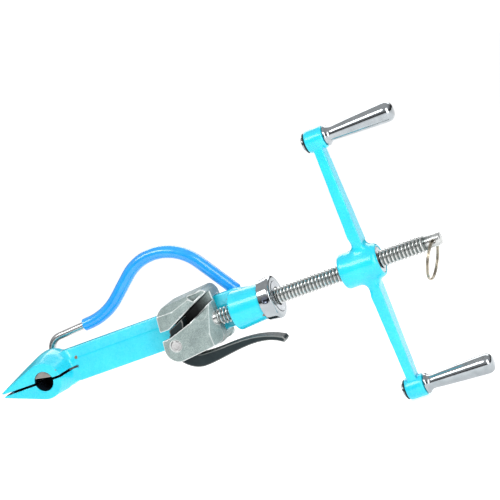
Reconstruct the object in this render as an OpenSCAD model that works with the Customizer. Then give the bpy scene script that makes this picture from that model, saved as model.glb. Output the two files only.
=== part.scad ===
// Screw tensioner for steel strap: a cast bar with a slotted cutting nose at the front,
// a gripping block that slides on the bar, and a crank that pulls the block back on a screw.
// X runs along the tool towards the crank, Z is up, and the open side, where the strap goes in, is -Y.
// The origin is the middle of the mouth of the strap slot, level with the screw.

/* [Strap] */
// Widest strap that the tool takes
strap_w = 16; // [12:0.5:18]
// Height of the strap slot in the nose
slot_h = 2; // [1.2:0.1:2.4]

/* [Nose] */
// Distance from the nose tip to the cutter pivot
cutter_x = 42; // [36:1:52]
// Radius of the cutter bore
cutter_r = 8.4; // [7:0.2:10]
// Radius of the nose around the cutter, on the open side
nose_r = 15.8; // [14:0.2:19]
// Radius of the flared shoulder of the nose, at the bar
shoulder_r = 20.5; // [19:0.5:24]
// Half the height of the tip of the jaws
tip_h = 2.4; // [1.8:0.1:3]
// Distance from the screw line to the open side of the nose and block
open_side = 12; // [11:0.5:14]

/* [Bar] */
// Thickness of the bar
bar_t = 12; // [9:0.5:16]
// Height of the bar above the screw line
bar_top = 16; // [13:0.5:18]
// Depth of the bar below the screw line
bar_drop = 13; // [11:0.5:15]
// Height of the bevel along the top of the bar
bevel_h = 9; // [4:0.5:10]
// Depth of that bevel
bevel_d = 4; // [2:0.5:5]

/* [Boss and bearing] */
// Distance from the nose tip to the front of the screw boss
boss_x = 221.5; // [219:1:270]
// Length of the screw boss up to the cap
boss_l = 27; // [22:1:34]
// Radius of the boss at its front
boss_r = 16.4; // [15.5:0.1:19]
// Radius of the boss under the cap
spigot_r = 14.8; // [14:0.1:15.4]
// Length of the boss inside the cap
spigot_l = 4; // [3:0.5:6]
// Length of the thrust cap
cap_l = 12; // [11.8:0.1:15]
// Largest radius of the thrust cap
cap_r = 17.9; // [17.6:0.1:20]
// Diameter of a bearing ball
ball_d = 3.2; // [2.4:0.1:3.4]
// Number of bearing balls
balls = 16; // [8:1:18]

/* [Screw] */
// Outer diameter of the tension screw
screw_d = 13.9; // [12:0.1:15]
// Pitch of the screw thread
pitch = 3.1; // [2:0.1:4]
// Depth of the screw thread
thread_h = 1.3; // [0.8:0.1:1.6]
// Length of the thread behind the block
thread_l = 183; // [160:1:200]
// Diameter of the plain end of the screw
end_d = 10.4; // [9:0.1:11]
// Length of the plain end of the screw
end_l = 13.2; // [11:0.1:16]

/* [Gripping block] */
// Length of the block
block_l = 50; // [49:1:56]
// Gap between the block and the boss
block_gap = 16; // [12:1:24]
// Thickness of the ear that holds the lever pin
ear_t = 4; // [3:0.2:5]
// Thickness of the cheek behind the bar
cheek_t = 5; // [4:0.2:7]
// Radius of the lever pin
pin_r = 4.6; // [3.6:0.1:5]
// Slope of the strap passage through the block
passage_a = 24.5; // [22:0.5:26]

/* [Crank] */
// Distance from the boss front to the middle of the crank arms
crank_reach = 117.5; // [110:0.5:130]
// Radius from the screw to each crank handle
crank_r = 105.5; // [85:0.5:130]
// Length of the hub
hub_l = 33; // [28:0.5:38]
// Radius of the hub
hub_r = 14.6; // [13.6:0.1:17]
// Radius of the round boss at the end of each arm
knob_r = 9; // [8:0.2:11]
// Length of that boss
knob_l = 15.5; // [12:0.5:20]
// Radius of the handle spindle
spindle_r = 4; // [3:0.1:5]
// Length of each handle
handle_l = 57.3; // [48:0.5:70]
// Radius of each handle at its thick end
handle_r = 8; // [7:0.2:10]

/* [Cutter handle] */
// Radius of the steel rod
rod_r = 3.2; // [2.6:0.1:4]
// Radius of the sleeve over the rod
sleeve_r = 5.4; // [4.8:0.1:6.5]
// Length of the straight end of the handle
handle_end = 38; // [30:1:42]

/* [Ring] */
// Radius of the split ring to the middle of its wire
ring_r = 15.6; // [14:0.2:20]
// Diameter of the ring wire
wire_d = 1.3; // [1:0.1:1.5]
// How far the ring hangs forward of straight down
ring_lean = 24; // [0:1:40]
// How far the ring is turned about the line it hangs in
ring_twist = 5; // [0:1:6]

/* [Hidden] */

$fn = 96;
eps = 0.01;          // lets a cut run past a face
fit = 0.05;          // radial gap of pieces that turn or press in each other
slack = 0.3;         // gap between pieces that pass each other

screw_r = screw_d / 2;
screw_gap = 0.8;     // radial gap of the screw in the boss and bearing
bar_y = screw_r + 1.05;
bar_far = bar_y + bar_t;
slot_floor = strap_w + 1 - open_side;

// bearing, from the boss to the back of the cap
cap_x = boss_x + boss_l;
spigot_x = cap_x + spigot_l;
race_t = 1.6;
race_r = spigot_r - 0.2;
race_bore = screw_r + screw_gap;
groove_h = 0.5;      // how deep the balls sit in each race
ball_track = (race_r + race_bore) / 2;
ball_x = spigot_x + race_t + ball_d / 2 - groove_h + fit;
rear_race_x = ball_x + ball_d / 2 - groove_h + fit;
lip_r = race_r - 1.8;
lip_x = rear_race_x + race_t + slack;
cap_end = max(cap_x + cap_l, lip_x + 1);
race_end = cap_end + slack;
cage_t = 1.1;

// block
block_x1 = boss_x - block_gap;
block_x0 = block_x1 - block_l;
block_top = bar_top + 9;
block_drop = 23;
cheek_far = bar_far + slack + cheek_t;
web_y = bar_y - slack;
pin_x = block_x0 + 11.1;
pin_z = -9;
jaw_r = 22.4;        // reach of the lever jaw from its pin
cavity_x = pin_x + jaw_r + 1;
mouth_top = 5.5;
mouth_bottom = -2.4;
passage_x = block_x0 + 11;
exit_z = mouth_top + (block_x1 - passage_x) * tan(passage_a);
lever_y0 = ear_t - open_side + slack;
lever_y1 = slot_floor - slack;
arm_l = 88.6;        // reach of the lever arm behind its pin

// screw, from the socket in the block to the plain end
socket_x = cavity_x + 1.2;
shank_r = screw_r - thread_h - 0.3;
thread_x = block_x1 + 0.6;
thread_end = thread_x + thread_l;
screw_end = thread_end + end_l;
turns = floor((thread_l - pitch) / pitch);
eye_r = 2.1;         // cross hole for the ring
eye_x = screw_end - end_l * 0.5;
roll_pin_r = 2;
roll_pin_x = (socket_x + block_x1) / 2;

// crank
crank_x = boss_x + crank_reach;
hub_x0 = crank_x - hub_l * 0.62;
hub_x1 = hub_x0 + hub_l;
bush_r = screw_r + 3.6;
knob_x0 = crank_x - knob_l / 2;
knob_x1 = crank_x + knob_l / 2;
washer_t = 1.1;
head_t = 2;
handle_x = knob_x1 + 0.5;

// cutter
shaft_r = cutter_r - fit;
notch_h = 3.1;       // height of the cutting edge over the pivot, at rest
notch_a = 10;        // tilt of the cutting edge at rest
keeper_r = 1.5;
keeper_y = (bar_y + bar_far) / 2;
keeper_x = cutter_x + cutter_r + 0.3;
groove_r = keeper_x - cutter_x - keeper_r - 0.25;
rod_y = cheek_far + sleeve_r + 0.7;
shaft_end = rod_y + rod_r + 1.4;
// The rod as stretches of [straight length, turn to the left in degrees, bend radius]
rod_heading = 104;
rod_lead = [11.5, -100.7, 12];
rod_bare = 22;
sleeve_shape = [[10, 35, 57], [23, -95, 44]];
rod_shape = [rod_lead, sleeve_shape[0] + [rod_bare, 0, 0], sleeve_shape[1], [handle_end, 0, 0]];
sleeve_over = 3;     // how far the sleeve runs past the rod
lap = 0.4;           // how far a straight runs into the bends at its ends
thin = 0.02;         // how much thinner a straight is than its bends, so that they join cleanly

// Shapes in place

// A round bar along X from x0 to x1
module along_x(x0, x1, r, y = 0, z = 0)
    translate([x0, y, z]) rotate([0, 90, 0]) cylinder(h = x1 - x0, r = r);

// A round bar along Y from y0 to y1
module along_y(y0, y1, r, x = 0, z = 0)
    translate([x, y0, z]) rotate([-90, 0, 0]) cylinder(h = y1 - y0, r = r);

// A round bar along Z from z0 to z1
module along_z(z0, z1, r, x = 0, y = 0)
    translate([x, y, z0]) cylinder(h = z1 - z0, r = r);

// An outline in X and Z, given thickness from y0 to y1
module slab(y0, y1)
    translate([0, y1, 0]) rotate([90, 0, 0]) linear_extrude(y1 - y0) children();

// An outline in Y and Z, given length from x0 to x1
module beam(x0, x1)
    translate([x0, 0, 0]) rotate([90, 0, 90]) linear_extrude(x1 - x0) children();

// An outline of [radius, x] points, turned about the X axis
module turned(y = 0, z = 0)
    translate([0, y, z]) rotate([0, 90, 0]) rotate_extrude() children();

module block_between(x0, x1, y0, y1, z0, z1)
    translate([x0, y0, z0]) cube([x1 - x0, y1 - y0, z1 - z0]);

// Cuts away what lies beyond a plane through p, whose normal is -Y turned by yaw and pitch
module facet(p, yaw, pitch)
    translate(p) rotate([0, 0, yaw]) rotate([-pitch, 0, 0]) translate([-60, -60, -60]) cube([120, 60, 120]);

// Tool body

module bar_outline()
    polygon([[bar_y, 1.2 - bar_drop], [bar_y, bar_top - bevel_h], [bar_y + bevel_d, bar_top],
             [bar_far - 1.5, bar_top], [bar_far, bar_top - 1.5], [bar_far, 1.5 - bar_drop],
             [bar_far - 1.5, -bar_drop], [bar_y + 1.2, -bar_drop]]);

// Wedge whose flanks touch a circle of radius r around the cutter
module nose_outline(r) {
    reach = norm([cutter_x, tip_h]);
    flank = asin(r / reach) - atan(tip_h / cutter_x);
    touch = [cutter_x - r * sin(flank), r * cos(flank)];
    translate([cutter_x, 0]) circle(r = r, $fn = 72);
    polygon([[0, tip_h], touch, [cutter_x, 0], [touch[0], -touch[1]], [1.4, -tip_h]]);
}

// Part of that outline that flares out over the bar
module flare_outline(r)
    intersection() {
        nose_outline(r);
        translate([2, -nose_r + 1]) square([cutter_x + 40, 60]);
    }

module nose() {
    slab(-open_side, bar_far) nose_outline(nose_r);
    intersection() {
        hull() {
            slab(-open_side, eps - open_side) flare_outline(nose_r - 0.1);
            slab(bar_y - eps, bar_far) flare_outline(shoulder_r);
        }
        slab(-open_side, bar_far) polygon([[0, 0], [0, 40], [cutter_x + 40, 40],
                                           [cutter_x + 40, 1 - nose_r], [cutter_x, 1 - nose_r], [cutter_x, 0]]);
    }
}

module boss()
    turned() polygon([[0, boss_x], [boss_r - 2, boss_x], [boss_r - 0.6, boss_x + 0.6], [boss_r, boss_x + 2],
                      [spigot_r, cap_x - 2], [spigot_r, spigot_x], [0, spigot_x]]);

// Bar end, sloping down into the boss
module bar_blank()
    intersection() {
        beam(cutter_x, cap_x - 4) bar_outline();
        slab(0, bar_far) polygon([[0, -40], [0, 40], [boss_x, 40], [boss_x, bar_top],
                                  [cap_x - 4, spigot_r - 5], [cap_x - 4, 5 - spigot_r],
                                  [boss_x, -bar_drop], [boss_x, -40]]);
    }

module tool_body() color("deepskyblue") difference() {
    union() {
        nose();
        bar_blank();
        boss();
    }
    along_x(boss_x - 1, spigot_x + 1, screw_r + screw_gap);
    along_y(-open_side - 1, bar_far + 1, cutter_r, cutter_x);
    block_between(-1, cutter_x + shoulder_r + 6, -open_side - 1, slot_floor, -slot_h / 2, slot_h / 2);
    slab(-open_side - 1, slot_floor) polygon([[-1, slot_h], [4, 0], [-1, -slot_h - 0.6]]);
    along_z(-nose_r - 1, 6, keeper_r + fit, keeper_x, keeper_y);
}

module cutter_keeper_pin() color("silver") along_z(-bar_drop + 1, 5.8, keeper_r, keeper_x, keeper_y);

// Thrust bearing

module thrust_cap() color("gainsboro") difference() {
    turned() polygon([[spigot_r + fit, cap_x + slack], [cap_r - 1.6, cap_x + slack],
                      [cap_r - 1.1, cap_x + 0.8],
                      [cap_r, cap_end - 2.6], [cap_r - 0.4, cap_end - 1.1], [cap_r - 1.4, cap_end - 0.2],
                      [cap_r - 2.4, cap_end], [lip_r, cap_end], [lip_r, lip_x], [spigot_r + fit, lip_x]]);
    rotate([-9, 0, 0]) translate([cap_x + cap_l * 0.52, -cap_r - 3, 0]) sphere(r = 4.6);
}

module race_grooves()
    turned() translate([ball_track, ball_x]) circle(r = ball_d / 2 + fit);

module front_race() color("lightslategray") difference() {
    turned() polygon([[race_bore, spigot_x + fit], [race_r, spigot_x + fit],
                      [race_r, spigot_x + race_t], [race_bore, spigot_x + race_t]]);
    race_grooves();
}

module rear_race() color("lightslategray") difference() {
    turned() polygon([[race_bore, rear_race_x], [race_r - 0.1, rear_race_x],
                      [race_r - 0.1, rear_race_x + race_t], [lip_r - slack, rear_race_x + race_t],
                      [lip_r - slack, race_end], [race_bore, race_end]]);
    race_grooves();
}

module on_each_ball()
    for (i = [0 : balls - 1])
        rotate([i * 360 / balls, 0, 0]) translate([ball_x, -ball_track, 0]) children();

module ball_cage() color("goldenrod") difference() {
    turned() polygon([[race_bore + 0.3, ball_x - cage_t / 2], [race_r - 0.6, ball_x - cage_t / 2],
                      [race_r - 0.6, ball_x + cage_t / 2], [race_bore + 0.3, ball_x + cage_t / 2]]);
    on_each_ball() rotate([0, 90, 0])
        cylinder(h = 3 * cage_t, r = ball_d / 2 + fit, center = true, $fn = 24);
}

module thrust_balls() color("white") on_each_ball() sphere(r = ball_d / 2, $fn = 24);

// Gripping block

// The corners of the block are arcs about [x, z, radius]
module block_outline()
    hull() for (c = [[block_x0 + 12.6, block_top - 9.2, 8.5], [block_x1 - 6, block_top - 4.5, 6],
                     [block_x0 + 11.5, 11.5 - block_drop, 11.5], [block_x1 - 5, 8.5 - block_drop, 5]])
        translate([c[0], c[1]]) circle(r = c[2], $fn = 48);

// The way of the strap: in at the mouth, up over the lever jaw and out at the top of the rear face
module passage_outline() {
    rise = (block_x1 + 4 - passage_x) * tan(passage_a);
    polygon([[block_x0 - 4, mouth_top], [passage_x, mouth_top], [block_x1 + 4, mouth_top + rise],
             [block_x1 + 4, mouth_top + rise - 8.4], [block_x0 + 30, 5], [block_x0 + 9, mouth_bottom + 1],
             [block_x0 - 4, mouth_bottom]]);
}

// Room for the lever, which swings about its pin and hangs out of the bottom of the block
module lever_room_outline() {
    intersection() {
        translate([pin_x, pin_z]) circle(r = jaw_r + 0.8);
        polygon([[block_x0 - 4, mouth_bottom], [block_x0 - 4, 40], [cavity_x + 4, 40], [cavity_x + 4, -8],
                 [pin_x + 14, -14], [pin_x + 14, -40], [block_x0 - 4, -40]]);
    }
    polygon([[block_x0 - 4, 0], [pin_x, 0], [pin_x + 14, -14], [pin_x + 16, -block_drop - 3],
             [block_x0 - 4, -block_drop - 3]]);
}

module block_blank() {
    slab(-open_side, cheek_far - 2) block_outline();
    slab(bar_far + slack, cheek_far) {
        translate([0, -2]) block_outline();
        translate([block_x1 - 15, 9 - block_drop]) circle(r = 10.5);
    }
}

module gripper_block() color("lightgray") difference() {
    block_blank();
    block_between(block_x0 - 5, block_x1 + 5, web_y, bar_far + slack, -bar_drop - slack, bar_top + slack);
    slab(-open_side - 1, slot_floor) passage_outline();
    slab(-open_side - 1, web_y + eps) intersection() {
        passage_outline();
        translate([block_x0 - 4, mouth_bottom - 5]) square([15, 20]);
    }
    slab(ear_t - open_side, slot_floor) lever_room_outline();
    along_y(-open_side - 1, web_y + 1, pin_r + fit, pin_x, pin_z);
    along_x(socket_x, block_x1 + 1, shank_r + fit);
    along_z(-block_drop - 1, shank_r + 2.4, roll_pin_r + fit, roll_pin_x, 0);
    // top and rear bevels of the open side
    facet([pin_x, -open_side, block_top - 6.6], 0, 52);
    facet([pin_x + 7, -open_side, block_top - 5.6], 17, 14);
    facet([block_x1 - 7.5, -open_side, 0], 52, 0);
    // scoop that leads the strap out
    translate([block_x1 - 8.5, -open_side - 2, 10.5]) sphere(r = 8.4);
    translate([block_x1 - 8.5, -open_side - 2, 10.5]) rotate([0, 90 - 29, 0]) cylinder(h = 30, r = 8.4);
    // pocket over the end of the passage
    slab(-open_side - 1, -2.5) polygon([[block_x1 - 17, block_top - 0.2], [block_x1 - 4.5, block_top + 0.2],
                                        [block_x1 - 2, exit_z + 0.9], [block_x1 - 12.5, exit_z - 3.4]]);
}

module gripper_pin() color("silver")
    along_y(-open_side - 0.2, web_y - 0.1, pin_r, pin_x, pin_z);

// Points along a cubic curve from p[0] to p[3], pulled towards p[1] and p[2]
function curve(p, steps = 12) = [
    for (i = [0 : steps], t = i / steps)
        pow(1 - t, 3) * p[0] + 3 * t * pow(1 - t, 2) * p[1] + 3 * t * t * (1 - t) * p[2] + pow(t, 3) * p[3]];

// Jaw of the lever, which meets the roof of the passage
module jaw_outline()
    polygon([[0, -3], [-3.2, 6], [-2.9, 12.4], [-1.4, 14], [0.6, 14.3],
             [jaw_r * cos(58), jaw_r * sin(58) - 0.1], [11.6, 15.6], [7.5, 3]]);

// Arm of the lever, which runs back under the block and droops at its tip
module arm_outline()
    polygon(concat(
        curve([[-8.4, -3], [-6, -14], [4, -25], [17, -24.5]]),
        curve([[17, -24.5], [40, -23.6], [arm_l - 20.6, -13.2], [arm_l - 2, -27.2]]),
        [[arm_l, -25.3]],
        curve([[arm_l - 1.4, -22.3], [arm_l - 28.6, -7.6], [33, -17.6], [13, -13.5]]),
        [[9.9, -7], [7, 0], [0, 2]]));

module lever_blank()
    translate([pin_x, 0, pin_z]) {
        along_y(lever_y0, lever_y1, 9);
        slab(lever_y0, lever_y1) jaw_outline();
        slab(lever_y0, lever_y1) arm_outline();
    }

module gripper_lever() color("darkslategray") difference() {
    lever_blank();
    along_y(lever_y0 - 1, lever_y1 + 1, pin_r + fit, pin_x, pin_z);
}

// Screw

// One turn of the thread as [depth below the crest, share of the pitch]
crest = [[thread_h, 0.1], [0, 0.38], [0, 0.62], [thread_h, 0.9]];

// Half outline of the thread as [radius, x]
function thread_points() = [
    for (i = [0 : turns - 1], p = crest) [screw_r - p[0], thread_x + pitch / 2 + (i + p[1]) * pitch]];

module tension_screw() color("silver") difference() {
    turned() polygon(concat(
        [[0, socket_x + 0.3], [shank_r - 0.6, socket_x + 0.3], [shank_r, socket_x + 0.9],
         [shank_r, thread_x], [screw_r - thread_h, thread_x]],
        thread_points(),
        [[screw_r - thread_h, thread_end], [end_d / 2, thread_end], [end_d / 2, screw_end - 0.8],
         [end_d / 2 - 0.8, screw_end], [0, screw_end]]));
    along_y(-screw_r, screw_r, eye_r, eye_x);
    along_z(-screw_r, screw_r, roll_pin_r + fit, roll_pin_x, 0);
}

module screw_roll_pin() color("gray")
    along_z(-shank_r - 5, shank_r + 2.2, roll_pin_r, roll_pin_x, 0);

// Crank

module thread_bush() color("darkgray")
    turned() polygon([[screw_r + fit, hub_x0 + 0.5], [bush_r, hub_x0 + 0.5], [bush_r, hub_x1 - 0.4],
                      [screw_r + fit, hub_x1 - 0.4]]);

// One arm: a bar that tapers from the root to the handle end
module arm() {
    root = [10, 17.4];
    tip = [7.4, 12.8];
    hull() {
        translate([crank_x, 0, 4.5]) cube([root[0], root[1], 1], center = true);
        translate([crank_x, 0, crank_r - 3.5]) cube([tip[0], tip[1], 1], center = true);
    }
}

module knob(z)
    turned(z = z) polygon([[0, knob_x0], [knob_r - 1.6, knob_x0], [knob_r - 0.4, knob_x0 + 0.5],
                           [knob_r, knob_x0 + 1.8], [knob_r, knob_x1 - 0.8], [knob_r - 0.8, knob_x1],
                           [0, knob_x1]]);

module crank_arms() color("deepskyblue") difference() {
    union() {
        turned() polygon([[0, hub_x0], [hub_r - 1.9, hub_x0], [hub_r - 0.7, hub_x0 + 0.8],
                          [hub_r - 0.2, hub_x0 + 3], [hub_r, crank_x], [hub_r - 0.3, hub_x1 - 3.5],
                          [hub_r - 1.4, hub_x1 - 1], [hub_r - 2.6, hub_x1], [0, hub_x1]]);
        for (side = [0, 180]) rotate([side, 0, 0]) {
            arm();
            knob(crank_r);
        }
    }
    along_x(hub_x0 - 1, hub_x1 + 1, bush_r + fit);
    for (side = [-1, 1]) along_x(knob_x0 - 1, knob_x1 + 1, spindle_r + fit, z = side * crank_r);
}

module washer(z) color("dimgray") difference() {
    washer_x = knob_x0 - fit - washer_t;
    along_x(washer_x, washer_x + washer_t, knob_r - 1, z = z);
    along_x(washer_x - 1, washer_x + washer_t + 1, spindle_r + 0.2, z = z);
}

module washer_top() washer(crank_r);
module washer_bottom() washer(-crank_r);

// A turned handle with its own spindle, which is peened over the washer
module handle(z) color("whitesmoke") {
    head_x = knob_x0 - fit - washer_t - 0.15;
    end_x = handle_x + handle_l;
    turned(z = z) polygon([[0, head_x - head_t], [knob_r - 4, head_x - head_t],
                           [knob_r - 2.8, head_x - head_t + 0.5], [knob_r - 2.4, head_x],
                           [spindle_r, head_x], [spindle_r, handle_x], [handle_r, handle_x],
                           [handle_r + 0.3, handle_x + 0.8], [handle_r, handle_x + 1.9],
                           [handle_r - 1.2, handle_x + 3], [handle_r - 2.1, handle_x + 4.4],
                           [handle_r - 2.3, handle_x + 6.5], [handle_r - 1.9, handle_x + 12],
                           [handle_r - 0.1, end_x - 9], [handle_r, end_x - 6],
                           [handle_r - 0.3, end_x - 3.6], [handle_r - 1.5, end_x - 1.5],
                           [handle_r - 3.6, end_x - 0.3], [0, end_x]]);
}

module handle_top() handle(crank_r);
module handle_bottom() handle(-crank_r);

// Cutter

module cutter_shaft() color("slategray") difference() {
    union() {
        along_y(-open_side + 0.3, keeper_y - keeper_r - 0.3, shaft_r, cutter_x);
        along_y(keeper_y - keeper_r - 0.5, keeper_y + keeper_r + 0.5, groove_r, cutter_x);
        along_y(keeper_y + keeper_r + 0.3, shaft_end, shaft_r, cutter_x);
    }
    translate([cutter_x, 0, 0]) rotate([0, notch_a, 0])
        block_between(-20, 20, -open_side - 1, slot_floor + 1.5, -20, notch_h);
    translate([cutter_x, rod_y, 0]) rotate([0, 90 - rod_heading, 0]) cylinder(h = 20, r = rod_r + fit);
}

// Round bar that starts along X and bends up through a turn
module bend(turn, radius, r)
    translate([0, 0, radius]) rotate([90, 0, 0]) rotate([0, 0, -90])
        rotate_extrude(angle = turn) translate([radius, 0]) circle(r = r);

// Round bar of radius r that starts along X and follows stretches
module bent(stretches, r) {
    s = stretches[0];
    turn = abs(s[1]);
    side = s[1] < 0 ? 1 : 0;
    along_x(-lap, s[0] + lap, r - thin);
    if (turn > 0) translate([s[0], 0, 0]) mirror([0, 0, side]) {
        bend(turn, s[2], r);
        translate([s[2] * sin(turn), 0, s[2] * (1 - cos(turn))]) rotate([0, -turn, 0]) mirror([0, 0, side])
            bent([for (i = [1 : 1 : len(stretches) - 1]) stretches[i]], r);
    }
}

module at_cutter_rod()
    translate([cutter_x, rod_y, 0]) rotate([0, -rod_heading, 0]) translate([lap, 0, 0]) children();

// Where the bare rod ends and the sleeve begins
module at_sleeve() {
    turn = rod_lead[1];
    at_cutter_rod()
        translate([rod_lead[0] - rod_lead[2] * sin(turn), 0, -rod_lead[2] * (1 - cos(turn))])
            rotate([0, -turn, 0]) translate([rod_bare, 0, 0]) children();
}

module cutter_rod() color("silver") at_cutter_rod() bent(rod_shape, rod_r);

module cutter_sleeve() color("dodgerblue") difference() {
    at_sleeve() bent(concat(sleeve_shape, [[handle_end + sleeve_over, 0, 0]]), sleeve_r);
    at_cutter_rod() bent(rod_shape, rod_r + fit);
}

// Ring

module split_ring() color("silver")
    translate([eye_x, 0, 0]) rotate([0, ring_lean, 0]) rotate([0, 0, -ring_twist])
        translate([0, 0, 0.4 - ring_r]) rotate([0, 90, 0])
            rotate_extrude() for (side = [-1, 1])
                translate([ring_r, side * wire_d * 0.48]) circle(r = wire_d / 2);

tool_body();
cutter_keeper_pin();
thrust_cap();
front_race();
ball_cage();
thrust_balls();
rear_race();
gripper_block();
gripper_pin();
gripper_lever();
tension_screw();
screw_roll_pin();
thread_bush();
crank_arms();
washer_top();
washer_bottom();
handle_top();
handle_bottom();
cutter_shaft();
cutter_rod();
cutter_sleeve();
split_ring();
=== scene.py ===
import math
import bmesh
import bpy
import numpy as np
from mathutils import Matrix, Vector, kdtree


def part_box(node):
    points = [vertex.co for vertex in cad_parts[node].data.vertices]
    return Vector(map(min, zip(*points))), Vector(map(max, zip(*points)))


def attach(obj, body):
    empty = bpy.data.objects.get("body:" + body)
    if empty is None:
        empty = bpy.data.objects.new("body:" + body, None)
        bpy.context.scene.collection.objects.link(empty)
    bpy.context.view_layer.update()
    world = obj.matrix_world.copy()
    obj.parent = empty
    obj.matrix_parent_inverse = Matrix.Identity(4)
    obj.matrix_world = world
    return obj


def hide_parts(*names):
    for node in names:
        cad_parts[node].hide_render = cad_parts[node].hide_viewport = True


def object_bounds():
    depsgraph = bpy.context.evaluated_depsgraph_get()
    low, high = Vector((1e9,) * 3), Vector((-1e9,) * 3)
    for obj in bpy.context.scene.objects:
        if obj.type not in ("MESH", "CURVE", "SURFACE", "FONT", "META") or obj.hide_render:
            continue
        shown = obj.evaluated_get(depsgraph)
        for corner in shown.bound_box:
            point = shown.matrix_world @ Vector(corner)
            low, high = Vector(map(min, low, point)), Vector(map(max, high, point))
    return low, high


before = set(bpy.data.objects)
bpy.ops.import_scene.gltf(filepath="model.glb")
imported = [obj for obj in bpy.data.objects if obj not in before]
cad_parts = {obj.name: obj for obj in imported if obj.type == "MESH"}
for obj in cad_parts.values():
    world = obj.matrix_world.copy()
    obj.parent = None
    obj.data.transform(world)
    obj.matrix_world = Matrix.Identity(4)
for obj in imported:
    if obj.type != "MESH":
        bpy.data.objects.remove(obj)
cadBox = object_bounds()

mm = 0.001


# Frame: camera, light and floor

cameraSetup = {
    "azimuth": 20, "elevation": 6, "roll": 22.55,  # degrees
    "distance": 1.25, "lens": 112.5,
    "target": (0.25355, 0, 0.0425),
}


def makeCamera():
    azimuth, elevation, roll = (math.radians(cameraSetup[k]) for k in ("azimuth", "elevation", "roll"))
    back = Vector((math.sin(azimuth) * math.cos(elevation),
                   -math.cos(azimuth) * math.cos(elevation), math.sin(elevation)))
    right = Vector((0, 0, 1)).cross(back).normalized()
    up = back.cross(right)
    turnedRight = math.cos(roll) * right - math.sin(roll) * up
    turnedUp = back.cross(turnedRight)
    data = bpy.data.cameras.new("camera")
    data.lens = cameraSetup["lens"]
    data.sensor_width = 36
    data.clip_end = 20
    camera = bpy.data.objects.new("camera", data)
    bpy.context.scene.collection.objects.link(camera)
    place = Vector(cameraSetup["target"]) + back * cameraSetup["distance"]
    turned = Matrix((turnedRight, turnedUp, back)).transposed().to_4x4()
    camera.matrix_world = Matrix.Translation(place) @ turned
    bpy.context.scene.camera = camera


softLights = {  # place, size, power in watts
    "key": ((-0.25, -0.75, 0.95), (0.9, 0.35), 7.5),
    "fill": ((0.95, -0.7, 0.35), (0.5, 0.9), 6),
    "rim": ((0.25, 0.85, 0.55), (1.2, 0.5), 5),
}


def makeLights():
    aim = (cadBox[0] + cadBox[1]) / 2
    for name, (place, size, power) in softLights.items():
        data = bpy.data.lights.new(name, "AREA")
        data.shape = "RECTANGLE"
        data.size, data.size_y = size
        data.energy = power
        light = bpy.data.objects.new(name, data)
        light.location = place
        light.rotation_euler = (aim - light.location).to_track_quat("-Z", "Y").to_euler()
        bpy.context.scene.collection.objects.link(light)


def makeWorld():
    world = bpy.data.worlds.new("studio")
    bpy.context.scene.world = world
    world.use_nodes = True
    nodes, links = world.node_tree.nodes, world.node_tree.links
    background = nodes["Background"]
    coords = nodes.new("ShaderNodeTexCoord")
    split = nodes.new("ShaderNodeSeparateXYZ")
    ramp = nodes.new("ShaderNodeValToRGB")  # dark floor line, pale walls, bright ceiling
    stops = [(0.0, 0.30), (0.40, 0.22), (0.48, 0.03), (0.56, 0.04), (0.64, 0.26), (0.78, 0.52), (1.0, 0.62)]
    ramp.color_ramp.elements[0].position = stops[0][0]
    ramp.color_ramp.elements[0].color = (stops[0][1],) * 3 + (1,)
    ramp.color_ramp.elements[1].position = stops[-1][0]
    ramp.color_ramp.elements[1].color = (stops[-1][1],) * 3 + (1,)
    for place, level in stops[1:-1]:
        element = ramp.color_ramp.elements.new(place)
        element.color = (level, level, level * 1.02, 1)
    height = nodes.new("ShaderNodeMath")
    height.operation = "MULTIPLY_ADD"
    height.inputs[1].default_value = 0.5
    height.inputs[2].default_value = 0.5
    links.new(coords.outputs["Generated"], split.inputs[0])
    links.new(split.outputs["Z"], height.inputs[0])
    links.new(height.outputs[0], ramp.inputs[0])
    links.new(ramp.outputs[0], background.inputs["Color"])
    plain = nodes.new("ShaderNodeBackground")  # what the camera sees behind the floor
    plain.inputs["Color"].default_value = (1, 1, 1, 1)
    plain.inputs["Strength"].default_value = 1.1
    path = nodes.new("ShaderNodeLightPath")
    mix = nodes.new("ShaderNodeMixShader")
    links.new(path.outputs["Is Camera Ray"], mix.inputs[0])
    links.new(background.outputs[0], mix.inputs[1])
    links.new(plain.outputs[0], mix.inputs[2])
    links.new(mix.outputs[0], nodes["World Output"].inputs["Surface"])


def makeFloor():
    mesh = bpy.data.meshes.new("floor")
    sheet = bmesh.new()
    bmesh.ops.create_circle(sheet, cap_ends=True, segments=96, radius=7)
    sheet.to_mesh(mesh)
    floor = bpy.data.objects.new("floor", mesh)
    floor.location = (0.2, 0, cadBox[0].z - 0.5 * mm)
    bpy.context.scene.collection.objects.link(floor)
    material = bpy.data.materials.new("paleFloor")
    material.use_nodes = True
    shader = material.node_tree.nodes["Principled BSDF"]
    shader.inputs["Base Color"].default_value = (0.6, 0.6, 0.6, 1)
    shader.inputs["Roughness"].default_value = 0.9
    shader.inputs["Specular IOR Level"].default_value = 0.1
    shader.inputs["Emission Color"].default_value = (1, 1, 1, 1)
    shader.inputs["Emission Strength"].default_value = 0.72
    mesh.materials.append(material)


# Materials

def newMaterial(name, **settings):
    material = bpy.data.materials.new(name)
    material.use_nodes = True
    shader = material.node_tree.nodes["Principled BSDF"]
    for key, value in settings.items():
        shader.inputs[key.replace("_", " ")].default_value = value
    return material


def addNode(material, kind, **inputs):
    node = material.node_tree.nodes.new(kind)
    for key, value in inputs.items():
        node.inputs[key.replace("_", " ")].default_value = value
    return node


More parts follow.
